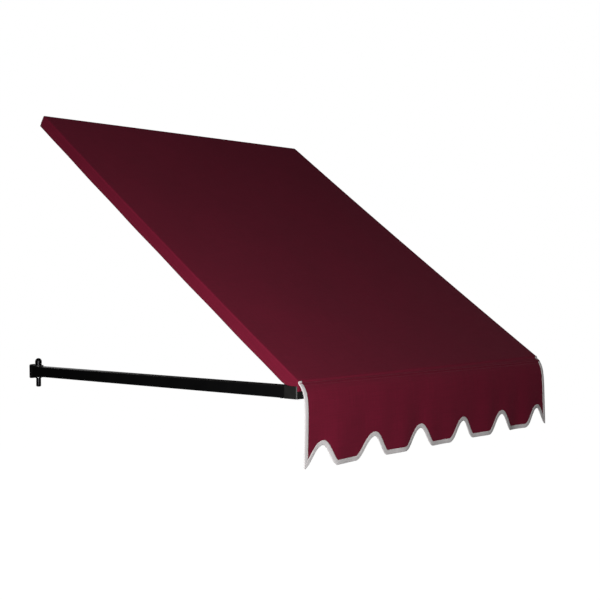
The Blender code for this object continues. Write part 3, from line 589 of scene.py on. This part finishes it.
def valance_surface(x, fall, off=0.0):
    """A point of the hanging cloth at x and so far below the seam. It leaves the seam outwards on an exponential
    nose, falls straight, flares at both ends, and waves in and out more the lower it is. off is the distance
    from the cloth's middle towards the street."""
    x, fall = np.broadcast_arrays(np.asarray(x, float), np.asarray(fall, float))
    share = np.maximum(fall, 0) / VALANCE_DROP
    sizes = bpy.context.scene.awning_sizes
    out = NOSE * (1 - np.exp(-np.maximum(fall, 0) / NOSE_FALL))
    wave = np.sin(2 * np.pi * x / 0.21 + 0.9) + 0.55 * np.sin(2 * np.pi * x / 0.117 + 2.2 * share + 2.0)
    wave = wave + 0.35 * np.sin(2 * np.pi * x / 0.0922 - 1.1)
    ends = smooth(0, 0.05, HALF - np.abs(x))
    out = out + sizes.wave * (0.25 * np.sqrt(share) + 0.75 * share**2) * wave * smooth(0, 0.15, share) * ends
    lean = NOSE / NOSE_FALL * np.exp(-np.maximum(fall, 0) / NOSE_FALL)
    length = np.sqrt(1 + lean * lean)
    flared = x * (1 + FLARE / HALF * share)
    return np.stack([flared, -SEAM_OUT - out - off / length, SEAM_UP - fall + off * lean / length], -1)


class AWNING_OT_valance(bpy.types.Operator):
    """Hangs the valance: one cloth from the front seam, with a scalloped lower edge"""

    bl_idname = "awning.valance"
    bl_label = "Valance"

    def execute(self, context):
        edge = HALF - 0.0015
        x = np.linspace(-edge, edge, 381)
        share = np.linspace(0, 1, 40) ** 1.5
        share = 0.5 * share + 0.5 * np.linspace(0, 1, 40)
        fall = share[:, None] * valance_bottom(x)[None]
        points = valance_surface(x[None], fall)
        uv = np.stack([x[None] + 0 * fall, -fall], -1)
        cloth = mesh_piece(
            "valance_cloth", points, quads(*fall.shape), finish_named("acrylic_canvas"), uv, sharp=60
        )
        thicken(cloth, 0.0009, 0)
        settle(cloth, "awning", "valance_cloth", "valance")
        return {"FINISHED"}


def binding_path():
    """The valance's edge in its own plane, as (x, fall): down the left side, along the scallops, up the right."""
    edge = HALF - 0.0015
    x = np.linspace(-edge, edge, 460)
    drop = valance_bottom(edge)
    left_drop = valance_bottom(-edge)
    left = np.stack([np.full(40, -edge), np.linspace(-0.004, left_drop, 41)[:-1]], -1)
    right = np.stack([np.full(40, edge), np.linspace(drop, -0.004, 41)[1:]], -1)
    return np.concatenate([left, np.stack([x, valance_bottom(x)], -1), right])


def along_path(path):
    """The distance to each point of a path, and its direction there."""
    step = np.linalg.norm(np.diff(path, axis=0), axis=1)
    distance = np.concatenate([[0], np.cumsum(step)])
    way = np.gradient(path, distance, axis=0)
    way /= np.linalg.norm(way, axis=1)[:, None]
    return distance, way


def binding_frame():
    """The binding's path with the inward direction at each point, evened out round the sharp corners, and the
    width that fits there: narrower inside a tight turn, where the tape gathers."""
    path = binding_path()
    distance, way = along_path(path)
    kernel = np.ones(9) / 9
    even = np.stack([np.convolve(np.pad(way[:, i], 4, mode="edge"), kernel, "valid") for i in (0, 1)], -1)
    even /= np.linalg.norm(even, axis=1)[:, None]
    inward = np.stack([even[:, 1], -even[:, 0]], -1)
    turning = np.gradient(np.unwrap(np.arctan2(even[:, 1], even[:, 0])), distance)
    tight = np.maximum(-turning, 0) * BINDING_WIDTH
    width = BINDING_WIDTH / np.maximum(1, tight * 1.15)
    return path, distance, inward, width


class AWNING_OT_binding(bpy.types.Operator):
    """Folds the white braid over the valance's side edges and its scallops"""

    bl_idname = "awning.binding"
    bl_label = "Binding"

    def execute(self, context):
        path, distance, inward, width = binding_frame()
        # The tape's section: distance in from the cloth's edge as a share of its width, and distance off the cloth
        turn = np.linspace(-np.pi / 2, np.pi / 2, 9)
        outer = 0.0013
        inner = outer - BINDING_THICKNESS
        outside = [(1.0, -outer + 0.0002), (0.9, -outer - 0.0001), (0.5, -outer - 0.0003), (0.1, -outer)]
        bend = [(-0.0016 * math.cos(a), outer * math.sin(a)) for a in turn]
        section_share = [reach for reach, off in outside] + [0.0] * 9 + [reach for reach, off in outside[::-1]]
        section_extra = [0.0] * 4 + [reach for reach, off in bend] + [0.0] * 4
        section_off = [off for reach, off in outside] + [off for reach, off in bend]
        section_off += [-off for reach, off in outside[::-1]]
        back_bend = [(-0.0007 * math.cos(a), inner * math.sin(a)) for a in turn[::-2]]
        section_share += [1.0, 0.5] + [0.0] * 5 + [0.5, 1.0]
        section_extra += [0.0, 0.0] + [reach for reach, off in back_bend] + [0.0, 0.0]
        section_off += [inner, inner] + [off for reach, off in back_bend] + [-inner, -inner]
        share, extra, off = (np.array(values) for values in (section_share, section_extra, section_off))
        reach = share * width[:, None] + extra
        place = path[:, None] + reach[..., None] * inward[:, None]
        points = valance_surface(place[..., 0], place[..., 1], off[None] + 0 * reach)
        across = np.concatenate([[0], np.cumsum(np.hypot(np.diff(share) * BINDING_WIDTH + np.diff(extra), np.diff(off)))])
        uv = np.stack([across[None] + 0 * reach, distance[:, None] + 0 * reach], -1)
        count = len(share)
        faces = quads(len(path), count, wrap_columns=True)
        tape = mesh_piece("binding_tape", points, faces, finish_named("binding_braid"), uv, sharp=50)
        close_ends(tape, count)
        settle(tape, "awning", "binding_tape", "valance_binding")
        return {"FINISHED"}


def close_ends(obj, count):
    """Caps both ends of a swept section of so many points, and turns the faces outwards."""
    bm = bmesh.new()
    bm.from_mesh(obj.data)
    bm.verts.ensure_lookup_table()
    bm.faces.new(bm.verts[:count])
    bm.faces.new(bm.verts[-count:])
    bmesh.ops.triangulate(bm, faces=bm.faces[-2:])
    bmesh.ops.recalc_face_normals(bm, faces=bm.faces)
    bm.to_mesh(obj.data)
    bm.free()



def seam_fall(x):
    """How far below the seam the cover's lap ends. It is cut a little longer towards the right."""
    return 0.0022 + 0.0042 * (1 + x / HALF)


class AWNING_OT_seam_lap(bpy.types.Operator):
    """Laps the cover's folded front edge over the top of the valance, where the two are sewn together"""

    bl_idname = "awning.seam_lap"
    bl_label = "Seam lap"

    def execute(self, context):
        line, inward, _, _, _, flapped = cover_rows()
        crest = np.flatnonzero(flapped)[-5:]
        edge = HALF - 0.0012
        x = np.linspace(-edge, edge, 241)
        over = np.repeat((line[crest] - 0.0007 * inward[crest])[:, None], len(x), 1)
        over[..., 0] = x
        share = np.array((0.0, 0.25, 0.5, 0.75, 0.9, 1.0))[:, None]
        fall = 0.0006 + share * (seam_fall(x) - 0.0006)
        off = 0.0013 + 0.0007 * smooth(0.2, 0.75, share) - 0.0005 * smooth(0.85, 1, share) + 0 * fall
        off = off + 0.0002 * share * np.sin(2 * np.pi * x / 0.019 + np.sin(31 * x))
        points = np.concatenate([over, valance_surface(x, fall, off)])
        step = np.linalg.norm(np.diff(points, axis=0), axis=2)
        down = np.concatenate([0 * x[None], np.cumsum(step, axis=0)])
        uv = np.stack([x + 0 * down, down], -1)
        faces = quads(*down.shape)
        lap = mesh_piece("seam_lap", points, faces, finish_named("acrylic_canvas"), uv, sharp=80)
        thicken(lap, 0.0007, -1)
        settle(lap, "awning", "cover_cloth")
        return {"FINISHED"}


# ---------------------------------------------------------------- stitching


def stitches(path, normal):
    """Thread arches along a path on the cloth: each rises out of the cloth, runs along it and dips in again. A
    stitch is six rings of five points. The first and the last ring are single points."""
    sizes = bpy.context.scene.awning_sizes
    pitch, radius = sizes.stitch, sizes.thread
    normal = np.broadcast_to(normal, path.shape)
    step = np.linalg.norm(np.diff(path, axis=0), axis=1)
    distance = np.concatenate([[0], np.cumsum(step)])
    count = int(distance[-1] / pitch)
    centre = (np.arange(count) + 0.5) * distance[-1] / count
    at = centre[:, None] + pitch * np.array((-0.42, -0.36, -0.15, 0.15, 0.36, 0.42))
    place = np.stack([np.interp(at, distance, path[:, i]) for i in range(3)], -1)
    up = np.stack([np.interp(at, distance, normal[:, i]) for i in range(3)], -1)
    up /= np.linalg.norm(up, axis=-1, keepdims=True)
    ahead = np.gradient(place, axis=1)
    ahead /= np.linalg.norm(ahead, axis=-1, keepdims=True)
    side = np.cross(ahead, up)
    place = place + radius * np.array((-0.9, 0.0, 0.75, 0.75, 0.0, -0.9))[:, None] * up
    thick = radius * np.array((0, 0.85, 1, 1, 0.85, 0))[:, None, None]
    angle = np.linspace(0, 2 * np.pi, 5, endpoint=False)[:, None]
    spoke = np.cos(angle) * side[:, :, None] + np.sin(angle) * up[:, :, None]
    rings = place[:, :, None] + thick * spoke
    faces = quads(6, 5, wrap_columns=True)[None] + 30 * np.arange(count)[:, None, None]
    return rings.reshape(-1, 3), faces.reshape(-1, 4)


def stitch_piece(name, rows, finish, slot):
    """One object from several rows of stitches, each a path and the cloth's outward direction along it."""
    points, faces, start = [], [], 0
    for path, normal in rows:
        made, squares = stitches(path, normal)
        points.append(made)
        faces.append(squares + start)
        start += len(made)
    piece = mesh_piece(name, np.concatenate(points), np.concatenate(faces), finish_named(finish), merge=True)
    return settle(piece, "awning", slot)


class AWNING_OT_stitching(bpy.types.Operator):
    """Sews the rows of stitches: hems, back flap, front seam and binding"""

    bl_idname = "awning.stitching"
    bl_label = "Stitching"

    def execute(self, context):
        bound, hang, length, along, flapped = flap_frame()
        hem_rows = []
        for _, sign in SIDES:
            for inset in (0.0022, HEM - 0.0022):
                path = (bound + hang * (length - inset)[:, None])[flapped]
                share = (1 - inset / length)[flapped]
                path[:, 0] = sign * (HALF + flap_proud(share, inset, along[flapped]) + 0.0001)
                hem_rows.append((path[2:-6], (sign, 0.0, 0.0)))
        x = np.linspace(-(HALF - 0.006), HALF - 0.006, 240)
        for inset in (0.0022, HEM - 0.0022):
            path = np.array((0, -RIDGE_OUT, RIDGE_UP)) + (BACK_FLAP - inset) * UNDER_SLOPE + 0.0 * x[:, None]
            path[:, 0] = x
            hem_rows.append((path - 0.0001 * DOWN_SLOPE, -DOWN_SLOPE))
        stitch_piece("hem_stitches", hem_rows, "canvas_thread", "cover_cloth")

        seam_rows = []
        for inset, off in ((0.0016, 0.0021), (-0.0030, 0.0006)):
            path = valance_surface(x, seam_fall(x) - inset, off)
            above = valance_surface(x, seam_fall(x) - inset, off + 0.001)
            seam_rows.append((path, (above - path) * 1000))
        stitch_piece("seam_stitches", seam_rows, "canvas_thread", "valance_cloth")

        path, _, inward, width = binding_frame()
        sewn = path + (width - 0.0017)[:, None] * inward
        tape_rows = []
        for off in (0.00145, -0.00145):
            row = valance_surface(sewn[:, 0], sewn[:, 1], off)
            above = valance_surface(sewn[:, 0], sewn[:, 1], off * 2)
            tape_rows.append((row[4:-4], ((above - row) * 1000)[4:-4]))
        stitch_piece("binding_stitches", tape_rows, "braid_thread", "binding_tape")
        return {"FINISHED"}


# ---------------------------------------------------------------- frame and fittings


NODE_FINISHES = {
    "powder_coated_tube": ("head_rail", "front_rail", "rafter_", "arm_left", "arm_right"),
    "moulded_nylon": ("head_corner_", "front_corner_"),
    "black_nylon": ("arm_plug_",),
    "powder_coated_steel": ("head_bracket_left", "head_bracket_centre", "head_bracket_right", "wall_bracket_"),
    "blackened_steel": ("pivot_bolt_", "barrel_nut_"),
    "zinc_plate": ("bracket_washer_",),
}


class AWNING_OT_frame_finish(bpy.types.Operator):
    """Gives the tubes, mouldings and brackets their finishes"""

    bl_idname = "awning.frame_finish"
    bl_label = "Frame finish"

    def execute(self, context):
        for finish, starts in NODE_FINISHES.items():
            for name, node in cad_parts.items():
                if name.startswith(starts) and "_screw_" not in name:
                    node.material_slots[0].material = finish_named(finish)
        return {"FINISHED"}


def arc_profile(radius, height, low, steps=10):
    """Profile points of a quarter ellipse from the rim to the pole."""
    angle = np.linspace(0, np.pi / 2, steps)
    return [(radius * math.cos(a), low + height * math.sin(a)) for a in angle[:-1]] + [(0.0, low + height)]


class AWNING_OT_pivots(bpy.types.Operator):
    """Turns the pivot bolts, their washers and their barrel nuts"""

    bl_idname = "awning.pivots"
    bl_label = "Pivots"

    def execute(self, context):
        for side, _ in SIDES:
            body = f"{side}_wall_bracket"
            low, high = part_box(f"pivot_bolt_{side}")
            centre = ((low.x + high.x) / 2, (low.y + high.y) / 2, 0.0)
            base = high.z - 0.020
            round_head = 0.0095
            profile = [(0.0, low.z), (0.0036, low.z), (0.004, low.z + 0.0005), (0.004, base)]
            profile += [(0.0088, base), (0.0095, base + 0.0007), (0.0095, base + 0.0026), (0.0086, base + 0.0032)]
            profile += [(0.0086, base + 0.0040), (0.0092, base + 0.0046)]
            profile += arc_profile(0.0092, round_head, high.z - round_head, 12)
            bolt = turned_piece(
                f"pivot_bolt_round_{side}", profile, centre, (0, 0, 1), finish_named("blackened_steel"), 40
            )
            settle(bolt, body, "pivot_steel", f"pivot_bolt_{side}")

            low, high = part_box(f"bracket_washer_{side}")
            bottom, top = low.z, high.z
            profile = [(0.0043, bottom), (0.0080, bottom), (0.0085, bottom + 0.0004), (0.0085, top - 0.0004)]
            profile += [(0.0080, top), (0.0043, top)]
            washer = turned_piece(
                f"washer_round_{side}", profile, centre, (0, 0, 1), finish_named("zinc_plate"), 40
            )
            settle(washer, body, "screw_steel", f"bracket_washer_{side}")

            low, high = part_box(f"barrel_nut_{side}")
            bottom, top = low.z, high.z
            profile = [(0.0, bottom + 0.0030), (0.0030, bottom + 0.0030), (0.0030, bottom + 0.0003)]
            profile += [(0.0034, bottom)]
            profile += [(0.0034 + 0.0033 * math.sin(a), bottom + 0.0036 * (1 - math.cos(a))) for a in (0.4, 0.8, 1.2)]
            profile += [(0.0067, bottom + 0.0036), (0.0067, top - 0.0040), (0.0063, top - 0.0036)]
            profile += [(0.0063, top - 0.0028), (0.0067, top - 0.0024), (0.0067, top - 0.0004), (0.0064, top)]
            profile += [(0.0043, top), (0.0043, bottom + 0.0057), (0.0, bottom + 0.0057)]
            nut = turned_piece(
                f"barrel_nut_round_{side}", profile, centre, (0, 0, 1), finish_named("blackened_steel"), 40
            )
            settle(nut, body, "pivot_steel", f"barrel_nut_{side}")
        return {"FINISHED"}


SCREW_WAYS = {
    "head_rail_screw": -UNDER_SLOPE,
    "rafter_top_screw": -UNDER_SLOPE,
    "rafter_low_screw": -UNDER_SLOPE,
    "head_bracket_screw": -UNDER_SLOPE,
    "cover_screw_head": DOWN_SLOPE,
    "cover_screw_front": np.array((0.0, 1.0, 0.0)),
    "front_rail_screw": np.array((0.0, 0.0, 1.0)),
    "arm_screw": np.array((0.0, 0.0, 1.0)),
}


def pan_screw(name, way):
    """A pan-head screw: a low dome with a cross recess pressed into it, a shank and a short point."""
    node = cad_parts[name]
    points = np.empty(len(node.data.vertices) * 3)
    node.data.vertices.foreach_get("co", points)
    points = points.reshape(-1, 3)
    middle = (points.min(0) + points.max(0)) / 2
    centre = middle - way * (middle @ way)
    top = (points @ way).min()
    head = 0.0024
    steps = 40
    radius = np.array((0.0, 0.0004, 0.0008, 0.0012, 0.0016, 0.0020, 0.0024, 0.0028, 0.0033, 0.0039, 0.0043, 0.0045))
    height = head * (0.55 * np.sqrt(np.maximum(1 - (radius / 0.0046) ** 2, 0)) + 0.45 * (radius < 0.0044))
    radius = np.concatenate([radius, [0.0045, 0.0021, 0.0021, 0.0011, 0.0]])
    height = np.concatenate([height, [0.0, 0.0, -0.0079, -0.0100, -0.0100]])
    angle = np.linspace(0, 2 * np.pi, steps, endpoint=False)
    across = np.abs(np.stack([radius[:, None] * np.cos(angle), radius[:, None] * np.sin(angle)]))
    arm = smooth(0.0008, 0.0005, across.min(0)) * smooth(0.0026, 0.0020, across.max(0))
    sink = 0.0013 * arm * (np.arange(len(radius)) < 12)[:, None]
    side = np.cross(way, (1.0, 0.0, 0.0))
    side /= np.linalg.norm(side)
    other = np.cross(way, side)
    spoke = np.cos(angle)[:, None] * side + np.sin(angle)[:, None] * other
    level = top + head - (height[:, None] - sink)
    rings = centre + radius[:, None, None] * spoke + level[..., None] * way
    faces = quads(len(radius), steps, wrap_columns=True)
    piece = mesh_piece(name + "_pan", rings, faces, finish_named("zinc_plate"), merge=True, sharp=35)
    return settle(piece, "awning", "screw_steel", name)


class AWNING_OT_screws(bpy.types.Operator):
    """Drives in the pan-head screws"""

    bl_idname = "awning.screws"
    bl_label = "Screws"

    def execute(self, context):
        for name in sorted(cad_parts):
            for start, way in SCREW_WAYS.items():
                if name.startswith(start):
                    pan_screw(name, way)
        return {"FINISHED"}


# ---------------------------------------------------------------- stage


def area_light(name, place, aim, size, power, colour="#FFFFFF"):
    data = bpy.data.lights.new(name, "AREA")
    data.shape = "DISK"
    data.size = size
    data.energy = power
    data.color = linear(colour)[:3]
    light = bpy.data.objects.new(name, data)
    light.location = place
    light.rotation_euler = (Vector(aim) - Vector(place)).to_track_quat("-Z", "Y").to_euler()
    bpy.context.scene.collection.objects.link(light)
    return light


class AWNING_OT_stage(bpy.types.Operator):
    """Sets up the camera, the pale floor and the soft studio lights"""

    bl_idname = "awning.stage"
    bl_label = "Stage"

    def execute(self, context):
        scene = context.scene
        scene.view_settings.view_transform = "Standard"
        data = bpy.data.cameras.new("front_left_camera")
        data.sensor_width = 36.0
        data.lens = 65.67
        data.clip_end = 100.0
        camera = bpy.data.objects.new("front_left_camera", data)
        scene.collection.objects.link(camera)
        heading, pitch, roll = (math.radians(angle) for angle in (41.927, -0.795, -0.414))
        forward = Vector((math.cos(heading) * math.cos(pitch), math.sin(heading) * math.cos(pitch), math.sin(pitch)))
        level = Vector((math.sin(heading), -math.cos(heading), 0))
        upward = level.cross(forward)
        right = math.cos(roll) * level + math.sin(roll) * upward
        upward = -math.sin(roll) * level + math.cos(roll) * upward
        turn = Matrix((right, upward, -forward)).transposed().to_4x4()
        camera.matrix_world = Matrix.Translation((-2.2907, -2.6149, -0.4179)) @ turn
        scene.camera = camera

        reach = 30.0
        level_under = -2.4
        turns = ((-1, -1), (1, -1), (1, 1), (-1, 1))
        corners = np.array([(x * reach, y * reach, level_under) for x, y in turns])
        material, _, shader = new_material("pale_floor", {"Roughness": 0.9, "Emission Strength": 1.0})
        shader.inputs["Base Color"].default_value = linear("#F2F2F1")
        shader.inputs["Emission Color"].default_value = linear("#FFFFFF")
        floor = mesh_piece("floor", corners, np.array([[0, 1, 2, 3]]), material)
        floor.visible_diffuse = False
        floor.visible_glossy = False
        floor.visible_shadow = False

        world = bpy.data.worlds.new("white_studio")
        world.use_nodes = True
        world.node_tree.nodes["Background"].inputs["Color"].default_value = linear("#FFFFFF")
        world.cycles_visibility.diffuse = False
        world.cycles_visibility.glossy = False
        scene.world = world

        area_light("key_left", (-2.1, -2.0, -0.55), (-0.3, -0.8, -0.5), 0.9, 42.0)
        area_light("fill_front", (-0.6, -3.4, 1.6), (0.0, -0.6, -0.4), 2.4, 6.0)
        area_light("fill_right", (3.0, -1.2, 0.4), (0.0, -0.6, -0.4), 2.0, 5.0)
        area_light("back_low", (0.6, 2.6, 0.2), (0.0, -0.4, -0.4), 2.2, 14.0)
        return {"FINISHED"}


# ---------------------------------------------------------------- add-on


class AWNING_PT_panel(bpy.types.Panel):
    """Sizes, colours and pieces of the window awning"""

    bl_label = "Window Awning"
    bl_idname = "AWNING_PT_panel"
    bl_space_type = "VIEW_3D"
    bl_region_type = "UI"
    bl_category = "Awning"

    def draw(self, context):
        for title, group in (("Sizes", context.scene.awning_sizes), ("Colours", context.scene.awning_colours)):
            box = self.layout.box()
            box.label(text=title)
            for name in group.__annotations__:
                box.prop(group, name)
        column = self.layout.column(align=True)
        for operator in OPERATORS:
            column.operator(operator.bl_idname)


OPERATORS = (
    AWNING_OT_cover,
    AWNING_OT_valance,
    AWNING_OT_seam_lap,
    AWNING_OT_binding,
    AWNING_OT_stitching,
    AWNING_OT_frame_finish,
    AWNING_OT_pivots,
    AWNING_OT_screws,
    AWNING_OT_stage,
)
CLASSES = (AwningSizes, AwningColours, *OPERATORS, AWNING_PT_panel)


def register():
    for made in CLASSES:
        bpy.utils.register_class(made)
    bpy.types.Scene.awning_sizes = bpy.props.PointerProperty(type=AwningSizes)
    bpy.types.Scene.awning_colours = bpy.props.PointerProperty(type=AwningColours)


def unregister():
    del bpy.types.Scene.awning_colours
    del bpy.types.Scene.awning_sizes
    for made in reversed(CLASSES):
        bpy.utils.unregister_class(made)


def main():
    register()
    for operator in OPERATORS:
        group, name = operator.bl_idname.split(".")
        result = getattr(getattr(bpy.ops, group), name)()
        if "FINISHED" not in result:
            raise RuntimeError(f"{operator.bl_label} did not finish")


if __name__ == "__main__":
    main()
